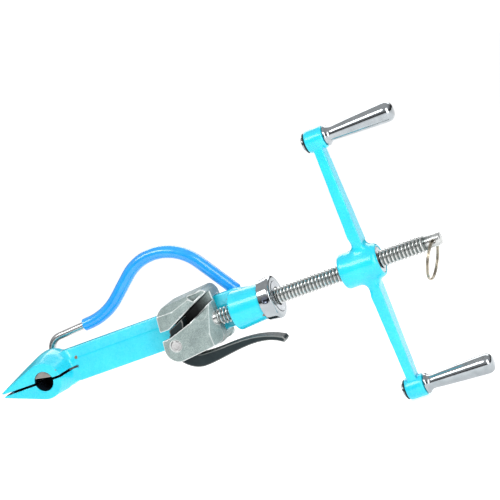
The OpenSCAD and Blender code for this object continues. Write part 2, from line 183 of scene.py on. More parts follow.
def objectNoise(material, scale, detail=3, roughness=0.55, stretch=(1, 1, 1)):
    coords = addNode(material, "ShaderNodeTexCoord")
    place = addNode(material, "ShaderNodeMapping", Scale=stretch)
    noise = addNode(material, "ShaderNodeTexNoise", Scale=scale, Detail=detail, Roughness=roughness)
    links = material.node_tree.links
    links.new(coords.outputs["Object"], place.inputs["Vector"])
    links.new(place.outputs["Vector"], noise.inputs["Vector"])
    return noise.outputs["Fac"]


def rampOf(material, source, stops):
    ramp = addNode(material, "ShaderNodeValToRGB")
    first, last = ramp.color_ramp.elements[0], ramp.color_ramp.elements[1]
    first.position, first.color = stops[0][0], (*stops[0][1], 1)
    last.position, last.color = stops[-1][0], (*stops[-1][1], 1)
    for place, colour in stops[1:-1]:
        ramp.color_ramp.elements.new(place).color = (*colour, 1)
    material.node_tree.links.new(source, ramp.inputs["Fac"])
    return ramp.outputs["Color"]


def greyRamp(material, source, stops):
    return rampOf(material, source, [(place, (level,) * 3) for place, level in stops])


def mixColours(material, share, first, second):
    mix = addNode(material, "ShaderNodeMix")
    mix.data_type = "RGBA"
    links = material.node_tree.links
    links.new(share, mix.inputs[0])
    for source, socket in ((first, mix.inputs[6]), (second, mix.inputs[7])):
        if isinstance(source, tuple):
            socket.default_value = (*source, 1)
        else:
            links.new(source, socket)
    return mix.outputs[2]


def calc(material, operation, first, second):
    sums = addNode(material, "ShaderNodeMath")
    sums.operation = operation
    for value, socket in ((first, sums.inputs[0]), (second, sums.inputs[1])):
        if isinstance(value, (int, float)):
            socket.default_value = value
        else:
            material.node_tree.links.new(value, socket)
    return sums.outputs[0]


def mark(material, name):
    node = addNode(material, "ShaderNodeAttribute")
    node.attribute_name = name
    return node.outputs["Fac"]


def finishWith(material, colour, roughness, bumps):
    links = material.node_tree.links
    shader = material.node_tree.nodes["Principled BSDF"]
    links.new(colour, shader.inputs["Base Color"])
    links.new(roughness, shader.inputs["Roughness"])
    last = None
    for height, distance, strength in bumps:  # fine bumps on top of coarse ones
        bump = addNode(material, "ShaderNodeBump", Strength=strength, Distance=distance)
        links.new(height, bump.inputs["Height"])
        if last is not None:
            links.new(last, bump.inputs["Normal"])
        last = bump.outputs["Normal"]
    links.new(last, shader.inputs["Normal"])
    return material


def blueEnamel():
    m = newMaterial("blueEnamel", Coat_Weight=0.45, Coat_Roughness=0.1, Specular_IOR_Level=0.4)
    cloud = objectNoise(m, 55, 3)
    body = rampOf(m, cloud, [(0.3, (0.010, 0.57, 0.76)), (0.55, (0.016, 0.63, 0.80)),
                             (0.75, (0.026, 0.67, 0.83))])
    edge = greyRamp(m, mark(m, "edge"), [(0.25, 0), (0.75, 1)])
    rubbed = calc(m, "MULTIPLY", edge, greyRamp(m, objectNoise(m, 420, 4, 0.7), [(0.42, 0), (0.6, 1)]))
    pale = mixColours(m, calc(m, "MULTIPLY", rubbed, 0.5), body, (0.10, 0.74, 0.92))
    # painted shade: the paint turns deep blue in creases, where shade falls
    crease = greyRamp(m, mark(m, "crease"), [(0.15, 0), (0.9, 1)])
    creaseShadedPaint = mixColours(m, calc(m, "MULTIPLY", crease, 0.8), pale, (0.002, 0.24, 0.70))
    chip = greyRamp(m, calc(m, "ADD", mark(m, "chip"), calc(m, "MULTIPLY", objectNoise(m, 900, 3), 0.35)),
                    [(0.86, 0), (0.9, 1)])
    chipped = mixColours(m, chip, creaseShadedPaint, (0.24, 0.15, 0.10))
    # painted shade: the slit and bore walls are painted near black with depth
    colour = mixColours(m, mark(m, "paintedShade"), chipped, (0.006, 0.010, 0.016))
    roughness = greyRamp(m, objectNoise(m, 240, 3), [(0.3, 0.22), (0.7, 0.34)])
    peel = objectNoise(m, 650, 2)
    sand = objectNoise(m, 2600, 2)
    return finishWith(m, colour, roughness,
                      bumps=((peel, 0.10 * mm, 0.35), (sand, 0.03 * mm, 0.25), (chip, -0.08 * mm, 0.8)))


def blastedZinc():
    m = newMaterial("blastedZinc", Metallic=0.35, Specular_IOR_Level=0.5)
    cloud = objectNoise(m, 90, 4)
    body = rampOf(m, cloud, [(0.3, (0.27, 0.345, 0.335)), (0.7, (0.43, 0.52, 0.505))])
    grain = objectNoise(m, 1700, 3, 0.7)
    speckled = mixColours(m, greyRamp(m, grain, [(0.38, 0.6), (0.6, 0)]), body, (0.09, 0.115, 0.11))
    # painted highlight: convex edges are painted pale grey
    edge = greyRamp(m, mark(m, "edge"), [(0.2, 0), (0.7, 1)])
    bright = mixColours(m, calc(m, "MULTIPLY", edge, 0.85), speckled, (0.82, 0.84, 0.83))
    # painted shade: creases are painted dark, where shade falls
    crease = greyRamp(m, mark(m, "crease"), [(0.2, 0), (0.9, 1)])
    creaseShadedZinc = mixColours(m, calc(m, "MULTIPLY", crease, 0.75), bright, (0.09, 0.105, 0.10))
    # painted shade: the strap's way and the lever pocket are painted near black
    paintedShade = greyRamp(m, mark(m, "paintedShade"), [(0.1, 0), (0.9, 1)])
    colour = mixColours(m, paintedShade, creaseShadedZinc, (0.012, 0.014, 0.015))
    roughness = greyRamp(m, edge, [(0, 0.5), (1, 0.3)])
    pits = objectNoise(m, 1300, 3, 0.65)
    return finishWith(m, colour, roughness, bumps=((pits, 0.16 * mm, 0.55), (cloud, 0.3 * mm, 0.2)))


def blackOxide():
    m = newMaterial("blackOxide", Metallic=0.0, Specular_IOR_Level=0.25)
    cloud = objectNoise(m, 120, 4)
    body = rampOf(m, cloud, [(0.3, (0.008, 0.017, 0.020)), (0.7, (0.016, 0.028, 0.031))])
    # painted highlight: convex edges are painted light grey
    edge = greyRamp(m, mark(m, "edge"), [(0.25, 0), (0.8, 1)])
    colour = mixColours(m, calc(m, "MULTIPLY", edge, 0.8), body, (0.30, 0.31, 0.30))
    roughness = greyRamp(m, objectNoise(m, 500, 3), [(0.3, 0.36), (0.7, 0.5)])
    return finishWith(m, colour, roughness, bumps=((objectNoise(m, 1500, 2), 0.05 * mm, 0.4),))


def chrome(name="polishedChrome"):
    m = newMaterial(name, Metallic=1.0)
    haze = objectNoise(m, 140, 3)
    clean = rampOf(m, haze, [(0.3, (0.36, 0.39, 0.41)), (0.7, (0.46, 0.49, 0.51))])
    # painted shade: the cap's staked dimple is painted dark
    colour = mixColours(m, mark(m, "paintedShade"), clean, (0.03, 0.04, 0.07))
    roughness = greyRamp(m, objectNoise(m, 380, 3), [(0.35, 0.09), (0.7, 0.17)])
    rings = objectNoise(m, 900, 2, 0.5, stretch=(6, 0.3, 0.3))
    return finishWith(m, colour, roughness, bumps=((rings, 0.01 * mm, 0.3),))


def brightSteel(name="brightSteel", tint=(1, 1, 1), low=0.2, high=0.34):
    m = newMaterial(name, Metallic=1.0)
    haze = objectNoise(m, 160, 4)
    dark, light = (tuple(t * v for t in tint) for v in (0.48, 0.62))
    clean = rampOf(m, haze, [(0.3, dark), (0.7, light)])
    # painted shade: the cutter shaft's hollows deep in the bore are painted near black
    colour = mixColours(m, mark(m, "paintedShade"), clean, (0.01, 0.01, 0.011))
    roughness = greyRamp(m, objectNoise(m, 700, 3), [(0.3, low), (0.7, high)])
    return finishWith(m, colour, roughness, bumps=((objectNoise(m, 2200, 2), 0.02 * mm, 0.3),))


def threadSteel():
    m = newMaterial("rolledThread", Metallic=1.0)
    depth = mark(m, "root")  # 0 at the crest, 1 at the root of the thread
    haze = objectNoise(m, 260, 4)
    body = rampOf(m, haze, [(0.3, (0.50, 0.51, 0.50)), (0.7, (0.70, 0.71, 0.70))])
    # painted shade: the thread roots are painted darker, where shade falls
    rootShadedThread = mixColours(m, greyRamp(m, depth, [(0.35, 0), (1.0, 1)]), body, (0.16, 0.18, 0.175))
    return finishWith(m, rootShadedThread, greyRamp(m, objectNoise(m, 900, 3), [(0.3, 0.2), (0.7, 0.36)]),
                      bumps=((objectNoise(m, 1800, 2), 0.03 * mm, 0.35),))


def blueVinyl():
    m = newMaterial("blueVinyl", Coat_Weight=0.5, Coat_Roughness=0.06, Specular_IOR_Level=0.55)
    body = rampOf(m, objectNoise(m, 70, 3), [(0.3, (0.006, 0.31, 0.88)), (0.7, (0.016, 0.38, 0.95))])
    crease = greyRamp(m, mark(m, "edge"), [(0.3, 0), (0.9, 1)])
    colour = mixColours(m, calc(m, "MULTIPLY", crease, 0.3), body, (0.05, 0.35, 0.85))
    roughness = greyRamp(m, objectNoise(m, 300, 3), [(0.3, 0.17), (0.7, 0.27)])
    waves = objectNoise(m, 260, 2)
    grain = objectNoise(m, 1800, 2)
    return finishWith(m, colour, roughness, bumps=((waves, 0.12 * mm, 0.25), (grain, 0.02 * mm, 0.3)))


def brass():
    m = newMaterial("stampedBrass", Metallic=1.0)
    colour = rampOf(m, objectNoise(m, 300, 4), [(0.3, (0.42, 0.29, 0.10)), (0.7, (0.60, 0.44, 0.18))])
    return finishWith(m, colour, greyRamp(m, objectNoise(m, 900, 3), [(0.3, 0.3), (0.7, 0.45)]),
                      bumps=((objectNoise(m, 1600, 2), 0.03 * mm, 0.3),))


# Mesh tools

def newPiece(name, mesh, material, body, nodes):
    piece = bpy.data.objects.new(name, mesh)
    bpy.context.scene.collection.objects.link(piece)
    mesh.materials.clear()
    mesh.materials.append(material)
    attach(piece, body)
    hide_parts(*nodes)
    return piece


def smoothShade(mesh, sharpAbove=None):
    mesh.polygons.foreach_set("use_smooth", [True] * len(mesh.polygons))
    if sharpAbove is not None:
        mesh.set_sharp_from_angle(angle=math.radians(sharpAbove))


def lathe(name, profile, axisY=0.0, axisZ=0.0, turns=128):
    mesh = bpy.data.meshes.new(name)
    shape = bmesh.new()
    rings = []
    for radius, x in profile:
        if radius <= 0:
            rings.append([shape.verts.new((x, axisY, axisZ))])
        else:
            rings.append([shape.verts.new((x, axisY + radius * math.sin(a), axisZ + radius * math.cos(a)))
                          for a in (2 * math.pi * i / turns for i in range(turns))])
    for first, second in zip(rings, rings[1:]):
        for i in range(turns):
            j = (i + 1) % turns
            corners = [first[i % len(first)], first[j % len(first)],
                       second[j % len(second)], second[i % len(second)]]
            unique = list(dict.fromkeys(corners))
            if len(unique) > 2:
                shape.faces.new(unique)
    bmesh.ops.recalc_face_normals(shape, faces=shape.faces)
    shape.to_mesh(mesh)
    shape.free()
    return mesh


def rounded(profile, radius, steps=4):
    points = [Vector(p) for p in profile]
    result = [tuple(points[0])]
    for before, corner, after in zip(points, points[1:], points[2:]):
        into, out = (corner - before), (after - corner)
        cut = min(radius, into.length * 0.45, out.length * 0.45)
        start, end = corner - into.normalized() * cut, corner + out.normalized() * cut
        for i in range(steps + 1):
            t = i / steps
            point = (1 - t) ** 2 * start + 2 * t * (1 - t) * corner + t ** 2 * end
            result.append((max(point.x, 0.0), point.y))
    result.append(tuple(points[-1]))
    return result


def sweep(name, path, radius, sides):
    points = [Vector(p) for p in path]
    mesh = bpy.data.meshes.new(name)
    shape = bmesh.new()
    tangents = [(after - before).normalized()
                for before, after in zip(points[:1] + points[:-1], points[1:] + points[-1:])]
    side = tangents[0].orthogonal().normalized()
    rings = []
    for point, tangent in zip(points, tangents):
        side = (side - tangent * side.dot(tangent)).normalized()
        other = tangent.cross(side)
        rings.append([shape.verts.new(point + radius * (math.cos(a) * side + math.sin(a) * other))
                      for a in (2 * math.pi * k / sides for k in range(sides))])
    for first, second in zip(rings, rings[1:]):
        for k in range(sides):
            j = (k + 1) % sides
            shape.faces.new((first[k], first[j], second[j], second[k]))
    shape.faces.new(list(reversed(rings[0])))
    shape.faces.new(rings[-1])
    bmesh.ops.recalc_face_normals(shape, faces=shape.faces)
    shape.to_mesh(mesh)
    shape.free()
    return mesh


def coordsOf(mesh):
    co = np.zeros(len(mesh.vertices) * 3)
    mesh.vertices.foreach_get("co", co)
    return co.reshape(-1, 3)


def normalsOf(mesh):
    normals = np.zeros(len(mesh.vertices) * 3)
    mesh.vertices.foreach_get("normal", normals)
    return normals.reshape(-1, 3)


def edgesOf(mesh):
    edges = np.zeros(len(mesh.edges) * 2, int)
    mesh.edges.foreach_get("vertices", edges)
    return edges.reshape(-1, 2)


def relax(co, edges, passes, pull=0.5):
    count = np.bincount(edges.ravel(), minlength=len(co))[:, None]
    co = co.copy()
    pull = np.asarray(pull).reshape(-1, 1) if np.ndim(pull) else pull
    for _ in range(passes):
        total = np.stack([np.bincount(edges[:, 0], co[edges[:, 1], k], len(co))
                          + np.bincount(edges[:, 1], co[edges[:, 0], k], len(co)) for k in range(3)], 1)
        co += pull * (total / count - co)
    return co


def setMark(mesh, name, values):
    attribute = mesh.attributes.get(name) or mesh.attributes.new(name, "FLOAT", "POINT")
    attribute.data.foreach_set("value", np.asarray(values, np.float32))


def applied(piece):
    graph = bpy.context.evaluated_depsgraph_get()
    mesh = bpy.data.meshes.new_from_object(piece.evaluated_get(graph))
    bpy.data.objects.remove(piece)
    return mesh


def scratch(mesh):
    piece = bpy.data.objects.new("scratch", mesh)
    bpy.context.scene.collection.objects.link(piece)
    return piece


fullMark = 0.32  # bulge, in voxels, at which an edge or a crease is fully marked


def castSkin(name, node, size, fillets=None):
    # a cast skin over one CAD node: its edges are relaxed, and edges and creases are marked
    voxel = size["voxel"] * mm
    shape = bmesh.new()
    shape.from_mesh(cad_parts[node].data)
    bmesh.ops.remove_doubles(shape, verts=shape.verts, dist=0.002 * mm)
    raw = bpy.data.meshes.new(name + "Raw")
    shape.to_mesh(raw)
    shape.free()
    piece = scratch(raw)
    remesh = piece.modifiers.new("remesh", "REMESH")
    remesh.mode = "VOXEL"
    remesh.voxel_size = voxel
    dense = applied(piece)
    edges, co = edgesOf(dense), coordsOf(dense)
    co = relax(co, edges, size["rounding"])
    if fillets is not None:
        co = relax(co, edges, size["filletPasses"], 0.5 * fillets(co, size))
    dense.vertices.foreach_set("co", co.ravel())
    dense.update()
    soft = relax(co, edges, 8)
    swell = ((co - soft) * normalsOf(dense)).sum(1) / voxel
    swell = relax(np.repeat(swell[:, None], 3, 1), edges, 2)[:, 0]
    piece = scratch(dense)
    thin = piece.modifiers.new("thin", "DECIMATE")
    thin.ratio = size["keep"]
    light = applied(piece)
    tree = kdtree.KDTree(len(co))
    for i, point in enumerate(co):
        tree.insert(point, i)
    tree.balance()
    swell = swell[[tree.find(v.co)[1] for v in light.vertices]] / fullMark
    light.name = name
    setMark(light, "edge", np.clip(swell, 0, 1))
    setMark(light, "crease", np.clip(-swell, 0, 1))
    smoothShade(light)
    return light


# Tool body, crank and lever: castings and forgings with rounded edges

bodySkin = {  # millimetres; rounding and filletPasses are relaxing passes, keep is a share of the faces
    "voxel": 0.5, "rounding": 7, "keep": 0.45, "filletPasses": 160,
    "shoulderFillet": 4.5, "bossFillet": 1.0, "shoulderRadius": 20.5, "barFace": 8, "bossGap": 16,
    "slotHalf": 1.15, "slotStart": 3, "slotPastCutter": 26, "boreRadius": 8.7,
    "darkFrom": -11.75, "darkOver": 0.8, "darkTo": 20,
}
paintChips = [  # place on the body in millimetres, and how far the paint is off
    ((61, -11.8, -6.5), 2.2), ((68.5, 8.0, 7.5), 2.6), ((247.5, -11.5, -9.0), 2.0), ((222.5, -9, 12.5), 1.6),
    ((0.8, -11.0, 2.0), 1.8), ((57.0, -12, 6.0), 1.5),
]


def middleOf(node):
    return sum(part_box(node), Vector()) / 2


def near(distance, reach):
    return np.clip(1.25 - distance / (reach * mm), 0, 1)


def bodyFillets(co, size):
    # how much each point takes part in the two wide fillets, where the bar meets nose and boss
    faceY = size["barFace"] * mm
    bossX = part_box("gripper_block")[1].x + size["bossGap"] * mm
    x, y, z = co.T
    fromCutter = np.hypot(x - middleOf("cutter_shaft").x, z)
    shoulder = np.hypot(y - faceY, fromCutter - size["shoulderRadius"] * mm)
    boss = np.hypot(y - faceY, x - bossX)
    return np.maximum(near(shoulder, size["shoulderFillet"]), near(boss, size["bossFillet"]))


def makeToolBody(paint):
    s = bodySkin
    mesh = castSkin("toolBody", "tool_body", s, bodyFillets)
    co = coordsOf(mesh)
    chips = np.zeros(len(co))
    for place, reach in paintChips:
        away = np.linalg.norm(co - np.array(place) * mm, axis=1)
        chips = np.maximum(chips, np.clip(1.2 - 0.8 * away / (reach * mm), 0, 1))
    setMark(mesh, "chip", chips)
    x, y, z = co.T / mm
    cutterX = middleOf("cutter_shaft").x / mm
    # painted shade: walls of the strap slit and of the cutter bore are marked darker with depth
    slotWalls = (np.abs(z) < s["slotHalf"]) & (x > s["slotStart"]) & (x < cutterX + s["slotPastCutter"])
    boreWalls = np.hypot(x - cutterX, z) < s["boreRadius"]
    depth = np.clip((y - s["darkFrom"]) / s["darkOver"], 0, 1)
    setMark(mesh, "paintedShade", np.where((slotWalls | boreWalls) & (y < s["darkTo"]), depth, 0))
    return newPiece("toolBody", mesh, paint, "frame", ["tool_body"])


crankSkin = {
    "voxel": 0.45, "rounding": 9, "keep": 0.5, "filletPasses": 420,
    "frontFillet": 9.0, "rearFillet": 4.5, "hubRadius": 14.4, "armHalf": 5, "washerToArm": 8.4,
    "boreKeep": 12, "endKeep": 2, "armStart": 4, "armFade": 5,
}


def crankFillets(co, size):
    # the fillets between hub and arms are wide; the ends and the bore of the hub stay sharp
    x, y, z = co.T
    middle = middleOf("washer_top").x + size["washerToArm"] * mm
    radius = np.hypot(y, z) - size["hubRadius"] * mm
    front = np.hypot(x - (middle - size["armHalf"] * mm), radius)
    rear = np.hypot(x - (middle + size["armHalf"] * mm), radius)
    weight = np.maximum(near(front, size["frontFillet"]), near(rear, size["rearFillet"]))
    low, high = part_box("thread_bush")
    hubEnds = (x < low.x + size["endKeep"] * mm) | (x > high.x - size["endKeep"] * mm)
    inside = np.hypot(y, z) < size["boreKeep"] * mm
    onArm = np.clip((np.abs(z) - size["armStart"] * mm) / (size["armFade"] * mm), 0, 1)
    return np.where(hubEnds | inside, 0, weight) * onArm


def makeCrank(paint):
    mesh = castSkin("crankArms", "crank_arms", crankSkin, crankFillets)
    return newPiece("crankArms", mesh, paint, "crank", ["crank_arms"])


leverSkin = {"voxel": 0.4, "rounding": 12, "keep": 0.5}


def makeLever(oxide):
    mesh = castSkin("gripperLever", "gripper_lever", leverSkin)
    return newPiece("gripperLever", mesh, oxide, "lever", ["gripper_lever"])


blockSkin = {"voxel": 0.4, "rounding": 6, "keep": 0.55}
passage = {  # the way of the strap through the block, in millimetres from the block's front and in degrees
    "slope": 24.5, "run": 11, "mouthTop": 5.5, "depth": 8.4, "back": 5.4, "slack": 0.7,
    "floor": ((-4, -2.4), (9, -1.4), (30, 5)), "beyond": 4,
    "pinX": 11.1, "pinZ": -9, "pocket": 23, "pocketFrom": -7.6,
    "darkFrom": -11.2, "darkOver": 3.5, "exit": 3, "exitFade": 16,
}


def makeBlock(zinc):
    s = passage
    mesh = castSkin("gripperBlock", "gripper_block", blockSkin)
    low, high = (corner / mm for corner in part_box("gripper_block"))
    x, y, z = coordsOf(mesh).T / mm
    rise = np.tan(math.radians(s["slope"]))
    roof = s["mouthTop"] + np.maximum(0, x - low.x - s["run"]) * rise
    floor = np.interp(x, [low.x + along for along, _ in s["floor"]] + [high.x + s["beyond"]],
                      [height for _, height in s["floor"]] + [roof.max() - s["depth"]])
    below = (z < roof + s["slack"]) & (y < s["back"])
    way = below & (z > floor - s["slack"])
    pocket = below & (np.hypot(x - low.x - s["pinX"], z - s["pinZ"]) < s["pocket"]) & (y > s["pocketFrom"])
    # painted shade: the strap's way and the lever pocket are marked darker with depth, fading towards the
    # exit
    shade = np.clip((y - s["darkFrom"]) / s["darkOver"], 0, 1)
    fade = np.clip((high.x - s["exit"] - x) / s["exitFade"], 0, 1) ** 0.5
    setMark(mesh, "paintedShade", np.where(way | pocket, shade * fade, 0))
    return newPiece("gripperBlock", mesh, zinc, "carriage", ["gripper_block"])


cutterSkin = {"voxel": 0.35, "rounding": 2, "keep": 0.6, "darkFrom": -11.3, "darkOver": 0.8, "darkTo": 20}


def makeCutter(steel):
    s = cutterSkin
    mesh = castSkin("cutterShaft", "cutter_shaft", s)
    depth = coordsOf(mesh)[:, 1] / mm
    # painted shade: the shaft is marked darker deeper in the bore
    shade = np.clip((depth - s["darkFrom"]) / s["darkOver"], 0, 1)
    setMark(mesh, "paintedShade", shade * (depth < s["darkTo"]))
    return newPiece("cutterShaft", mesh, steel, "cutter", ["cutter_shaft"])


# Turned pieces

capShape = {
    "radius": 17.9, "boreRadius": 14.85, "lipRadius": 12.8, "lip": 0.7, "rounding": 0.5, "meshStep": 0.35,
    "dimple": 4.6, "dimpleOut": 3.0, "dimpleTurn": -9, "dimpleX": 5.94, "dimpleShade": 0.85,
}


def makeCap(material):
    low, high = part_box("thrust_cap")
    x0, x1 = low.x / mm, high.x / mm
    s = capShape
    lip = x1 - s["lip"]
    outline = [(s["boreRadius"], x0), (s["radius"] - 1.5, x0), (s["radius"] - 1.1, x0 + 0.5),
               (s["radius"], x1 - 2.6), (s["radius"] - 0.4, x1 - 1.1), (s["radius"] - 1.4, x1 - 0.2),
               (s["radius"] - 2.4, x1), (s["lipRadius"], x1), (s["lipRadius"], lip), (s["boreRadius"], lip),
               (s["boreRadius"], x0)]
    outline = finer(rounded(outline, s["rounding"]), s["meshStep"])  # fine enough for the dimple
    mesh = lathe("thrustCap", [(r * mm, x * mm) for r, x in outline], turns=288)
    co = coordsOf(mesh)
    turn = math.radians(s["dimpleTurn"])
    reach = (s["radius"] + s["dimpleOut"]) * mm
    middle = np.array([low.x + s["dimpleX"] * mm, -reach * math.cos(turn), -reach * math.sin(turn)])
    away = co - middle
    distance = np.linalg.norm(away, axis=1)
    inside = distance < s["dimple"] * mm
    co[inside] = middle + away[inside] / distance[inside, None] * s["dimple"] * mm
    mesh.vertices.foreach_set("co", co.ravel())
    # painted shade: the dimple is marked dark
    setMark(mesh, "paintedShade", inside * s["dimpleShade"])
    smoothShade(mesh, 50)
    return newPiece("thrustCap", mesh, material, "frame", ["thrust_cap"])


def finer(outline, step):
    points = [outline[0]]
    for first, second in zip(outline, outline[1:]):
        parts = max(1, math.ceil(math.dist(first, second) / step))
        points += [tuple(a + (b - a) * (i + 1) / parts for a, b in zip(first, second)) for i in range(parts)]
    return points


handleShape = {"length": 57.3, "radius": 8.0, "head": 5.0, "spindle": 4.0}


def makeHandle(node, name, body, material):
    low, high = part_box(node)
    x0, x1 = low.x / mm, high.x / mm
    start = x1 - handleShape["length"]
    r, head, spindle = handleShape["radius"], handleShape["head"], handleShape["spindle"]
    outline = [(0, x0), (head - 0.6, x0), (head + 1.0, x0 + 0.5), (head + 1.5, x0 + 2.0),
               (spindle, x0 + 2.0), (spindle, start), (r - 0.3, start), (r + 0.3, start + 0.5),
               (r + 0.3, start + 1.2), (r - 0.1, start + 2.0), (r - 1.2, start + 3.0),
               (r - 2.1, start + 4.4), (r - 2.3, start + 6.5), (r - 1.9, start + 12),
               (r - 1.0, start + 28), (r - 0.1, x1 - 9), (r, x1 - 6), (r - 0.3, x1 - 3.6),
               (r - 1.5, x1 - 1.5), (r - 3.6, x1 - 0.3), (0, x1)]
    outline = rounded(outline, 1.2, 5)
    mesh = lathe(name, [(a * mm, x * mm) for a, x in outline], axisZ=(low.z + high.z) / 2, turns=96)
    smoothShade(mesh, 40)
    return newPiece(name, mesh, material, body, [node])


def makeRingPiece(node, name, body, material, boreRadius, edge):
    low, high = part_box(node)
    outer = (high.z - low.z) / 2 / mm
    x0, x1 = low.x / mm, high.x / mm
    outline = [((boreRadius + outer) / 2, x0), (outer, x0), (outer, x1), (boreRadius, x1), (boreRadius, x0),
               ((boreRadius + outer) / 2, x0)]
    outline = rounded(outline, edge, 3)
    mesh = lathe(name, [(a * mm, x * mm) for a, x in outline], axisZ=(low.z + high.z) / 2, turns=128)
    smoothShade(mesh, 40)
    return newPiece(name, mesh, material, body, [node])


def makeGripperPin(material):
    low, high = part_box("gripper_pin")
    r = (high.x - low.x) / 2 / mm
    y0, y1 = low.y / mm, high.y / mm
    outline = [(0, y0 + 0.12), (r - 2.2, y0 + 0.1), (r - 0.8, y0), (r - 0.25, y0 + 0.25), (r, y0 + 0.9),
               (r, y1 - 0.6), (r - 0.6, y1), (0, y1)]
    mesh = lathe("gripperPin", [(a * mm, y * mm) for a, y in rounded(outline, 0.3)], turns=96)
    middle = (low + high) / 2
    mesh.transform(Matrix(((0, 1, 0, middle.x), (1, 0, 0, 0), (0, 0, -1, middle.z), (0, 0, 0, 1))))
    if mesh.polygons[0].normal.y > 0:
        mesh.flip_normals()
    smoothShade(mesh, 40)
    return newPiece("gripperPin", mesh, material, "carriage", ["gripper_pin"])


# Screw with a true helical thread

screwShape = {
    "radius": 6.95, "pitch": 3.1, "depth": 1.3, "shank": 5.35, "endRadius": 5.2, "endLength": 13.2,
    "threadGap": 0.6, "overlap": 0.4, "eyeRadius": 2.1, "pinRadius": 2.05, "segments": 60,
}


def threadMesh(x0, x1):
    # every column is one profile along the screw, moved on by its share of the pitch
    s = screwShape
    crest, root = s["radius"], s["radius"] - s["depth"]
    shape = [(0.0, root), (0.10, root), (0.16, root + 0.12), (0.36, crest - 0.16), (0.42, crest),
             (0.58, crest), (0.64, crest - 0.16), (0.84, root + 0.12), (0.90, root)]
    turns = math.ceil((x1 - x0) / s["pitch"]) + 1
    fade = 0.8 * s["pitch"]  # the thread runs out at both ends
    columns = []
    bm = bmesh.new()
    for i in range(s["segments"] + 1):
        angle = 2 * math.pi * i / s["segments"]
        column = []
        for turn in range(-1, turns):
            for share, radius in shape:
                x = x0 + s["pitch"] * (turn + share + i / s["segments"])
                height = min(1.0, max(0.0, min(x - x0, x1 - x) / fade)) * (radius - root)
                x = min(max(x, x0), x1)
                reach = root + height
                place = (x * mm, reach * math.sin(angle) * mm, reach * math.cos(angle) * mm)
                column.append(bm.verts.new(place))
        columns.append(column)
    for first, second in zip(columns, columns[1:]):
        for k in range(len(first) - 1):
            bm.faces.new((first[k], first[k + 1], second[k + 1], second[k]))
    bmesh.ops.remove_doubles(bm, verts=bm.verts, dist=0.001 * mm)
    bmesh.ops.holes_fill(bm, edges=[e for e in bm.edges if e.is_boundary])
    bmesh.ops.recalc_face_normals(bm, faces=bm.faces)
    mesh = bpy.data.meshes.new("thread")
    bm.to_mesh(mesh)
    bm.free()
    return mesh


def crossHole(middle, radius, reach, along):
    # a drill shape that widens at both mouths, so that the hole has a chamfer
    outline = [(0, -reach - 2), (radius + 2.6, -reach - 2), (radius, -reach + 0.6), (radius, reach - 0.6),
               (radius + 2.6, reach + 2), (0, reach + 2)]
    mesh = lathe("drill", [(r * mm, x * mm) for r, x in outline], turns=48)
    turn = Matrix.Rotation(math.radians(90), 4, "Z" if along == "Y" else "Y")
    mesh.transform(Matrix.Translation(middle) @ turn)
    return mesh


def cutWith(mesh, drill):
    piece, tool = scratch(mesh), scratch(drill)
    cut = piece.modifiers.new("cut", "BOOLEAN")
    cut.operation, cut.solver, cut.object = "DIFFERENCE", "EXACT", tool
    result = applied(piece)
    bpy.data.objects.remove(tool)
    return result


def joined(name, meshes):
    bm = bmesh.new()
    for mesh in meshes:
        bm.from_mesh(mesh)
    result = bpy.data.meshes.new(name)
    bm.to_mesh(result)
    bm.free()
    return result


def makeScrew(material):
    s = screwShape
    low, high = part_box("tension_screw")
    x0, end = low.x / mm, high.x / mm
    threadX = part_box("gripper_block")[1].x / mm + s["threadGap"]
    threadEnd = end - s["endLength"]
    shankEnd, plainStart = threadX + s["overlap"], threadEnd - s["overlap"]
    shank = [(0, x0), (s["shank"], x0), (s["shank"], shankEnd), (0, shankEnd)]
    plain = [(0, plainStart), (s["endRadius"], plainStart), (s["endRadius"], end - 0.9),
             (s["endRadius"] - 0.9, end), (0, end)]
    shankMesh = lathe("shank", [(r * mm, x * mm) for r, x in rounded(shank, 0.5)], turns=72)
    plainMesh = lathe("plainEnd", [(r * mm, x * mm) for r, x in rounded(plain, 0.3)], turns=96)
    pinPlace = Vector((middleOf("screw_roll_pin").x, 0, 0))
    eye = Vector((high.x - s["endLength"] * mm / 2, 0, 0))
    shankMesh = cutWith(shankMesh, crossHole(pinPlace, s["pinRadius"], s["shank"], "Z"))
    plainMesh = cutWith(plainMesh, crossHole(eye, s["eyeRadius"], s["endRadius"], "Y"))
    mesh = joined("tensionScrew", [threadMesh(threadX, threadEnd), shankMesh, plainMesh])
    co = coordsOf(mesh)
    reach = np.hypot(co[:, 1], co[:, 2]) / mm
    onThread = (co[:, 0] > threadX * mm) & (co[:, 0] < threadEnd * mm)
    setMark(mesh, "root", np.where(onThread, np.clip((s["radius"] - reach) / s["depth"], 0, 1), 0))
    smoothShade(mesh, 38)
    return newPiece("tensionScrew", mesh, material, "carriage", ["tension_screw"])


# Cutter rod and its sleeve: straights and bends in the plane of the tool

cutterHandle = {  # millimetres and degrees; each stretch is a straight length, a turn and its bend radius
    "heading": 104, "lead": (11.5, -100.7, 12), "bare": 22, "lap": 0.4,
    "sleeve": ((10, 35, 57), (23, -95, 44)), "end": 38, "over": 3,
    "rodRadius": 3.2, "sleeveRadius": 5.38,
}


def walk(start, heading, stretches):
    # points of straights and bends, each given as (straight length, turn in degrees, bend radius)
    x, z = start
    points = [(x, z)]
    for length, turn, radius in stretches:
        parts = max(1, round(length / 4))
        step = length / parts
        for _ in range(parts):
            x, z = x + step * math.cos(heading), z + step * math.sin(heading)
            points.append((x, z))
        bends = max(1, round(abs(turn) / 3)) if turn else 0
        for _ in range(bends):
            part = math.radians(turn) / bends
            chord = 2 * radius * math.sin(abs(part) / 2)
            heading += part / 2
            x, z = x + chord * math.cos(heading), z + chord * math.sin(heading)
            heading += part / 2
            points.append((x, z))
    return points, heading


